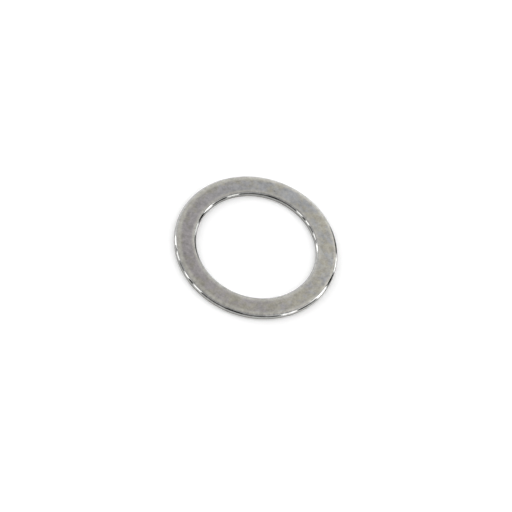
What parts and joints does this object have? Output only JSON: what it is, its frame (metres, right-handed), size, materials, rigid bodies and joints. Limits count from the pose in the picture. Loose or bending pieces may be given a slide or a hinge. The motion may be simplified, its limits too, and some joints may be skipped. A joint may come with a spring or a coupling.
{
  "type": "washer",
  "caption": "Thin flat ring washer with a wide bore, rolled-over upper edges and bright sheared walls; spaces parts on a shaft and spreads their load.",
  "frame": {"origin": "middle of the lower face, on the axis of the bore", "axes": "+Z along the axis, from the lower face to the upper face with the rolled edges"},
  "size_m": [0.03, 0.03, 0.001],
  "materials": {
    "plated_steel": "blanked steel with a thin clear zinc plating, satin faces with faint blue and straw tints, burnished edges"
  },
  "bodies": {
    "root": {"washer": "plated_steel"}
  },
  "joints": []
}
